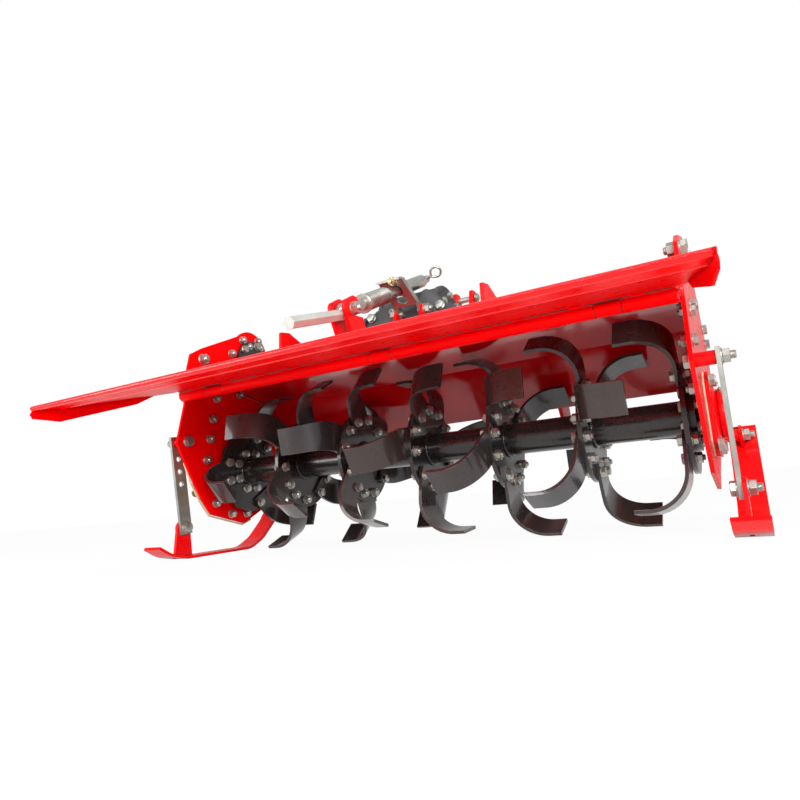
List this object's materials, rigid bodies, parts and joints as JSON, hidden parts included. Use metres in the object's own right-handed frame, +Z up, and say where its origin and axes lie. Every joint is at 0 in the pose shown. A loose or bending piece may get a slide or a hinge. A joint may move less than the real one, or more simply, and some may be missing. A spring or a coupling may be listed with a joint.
{
  "type": "rotavator",
  "caption": "Tractor-mounted rotavator with a red hood, bladed rotor, side drive case, depth skids and a hinged tailboard held by a spring rod.",
  "frame": {"origin": "on the ground in the middle of the machine's outline, as it stands on its two depth skids", "axes": "+X to the right seen from behind, along the rotor; +Y forward to the tractor; +Z up"},
  "size_m": [1.504, 1.002, 0.7692],
  "materials": {
    "red_paint": "bright red gloss paint",
    "black_enamel": "black gloss enamel",
    "black_casting": "rough dark painted casting",
    "zinc_steel": "bright zinc plate",
    "bright_steel": "bare machined steel",
    "cream_gasket": "cream fibre gasket",
    "black_plastic": "moulded black plastic"
  },
  "bodies": {
    "frame": {"side_plate_left": "red_paint", "side_plate_right": "red_paint", "hood": "red_paint", "hood_ears": "red_paint", "hood_gussets": "red_paint", "front_beam": "red_paint", "link_brackets": "red_paint", "link_pins": "zinc_steel", "mast": "red_paint", "top_pin": "zinc_steel", "mast_braces": "red_paint", "gearbox": "black_casting", "gearbox_seat": "red_paint", "pto_guard": "black_plastic", "drive_tube": "black_enamel", "bearing_disc": "black_casting", "case_gasket": "cream_gasket", "side_case": "red_paint", "bearing_gasket": "cream_gasket", "bearing_housing": "red_paint", "skid_left": "red_paint", "skid_right": "red_paint", "strap_left": "zinc_steel", "strap_right": "zinc_steel", "skid_spacers": "red_paint", "skid_bolts": "zinc_steel", "yoke_lugs": "red_paint", "yoke_bolts": "zinc_steel"},
    "rotor": {"rotor_tube": "black_enamel", "rotor_flanges": "black_enamel", "blades_left": "black_enamel", "blades_right": "black_enamel"},
    "pto": {"pto_stub": "bright_steel"},
    "tailboard": {"tailboard": "red_paint", "hinge_pin": "zinc_steel", "board_clevis": "red_paint"},
    "yoke": {"yoke": "zinc_steel", "guide_sleeve": "zinc_steel", "lynch_pin": "zinc_steel"},
    "rod": {"spring_rod": "zinc_steel", "rod_collars": "zinc_steel", "spring": "bright_steel", "rod_tail": "zinc_steel", "rod_pin_bolt": "zinc_steel"}
  },
  "joints": [
    {"name": "rotor_spin", "type": "hinge", "parent": "frame", "child": "rotor", "pos_m": [0, 0.123, 0.24], "axis": [-1, 0, 0], "continuous": true},
    {"name": "pto_spin", "type": "hinge", "parent": "frame", "child": "pto", "pos_m": [-0.03, 0.323, 0.612], "axis": [0, 1, 0], "continuous": true},
    {"name": "tailboard_hinge", "type": "hinge", "parent": "frame", "child": "tailboard", "pos_m": [0, -0.102, 0.459], "axis": [1, 0, 0], "range_deg": [0, 55]},
    {"name": "yoke_hinge", "type": "hinge", "parent": "frame", "child": "yoke", "pos_m": [-0.02, 0.118, 0.617], "axis": [1, 0, 0], "range_deg": [0, 15.3]},
    {"name": "rod_slide", "type": "slide", "parent": "yoke", "child": "rod", "axis": [0, 0.9178, 0.3971], "range_m": [-0.0718, 0]}
  ],
  "couplings": [
    {"joint": "pto_spin", "follows": "rotor_spin", "ratio": 2.5},
    {"joint": "yoke_hinge", "follows": "tailboard_hinge", "ratio": 0.27532},
    {"joint": "rod_slide", "follows": "tailboard_hinge", "m_per_rad": -0.074637}
  ]
}
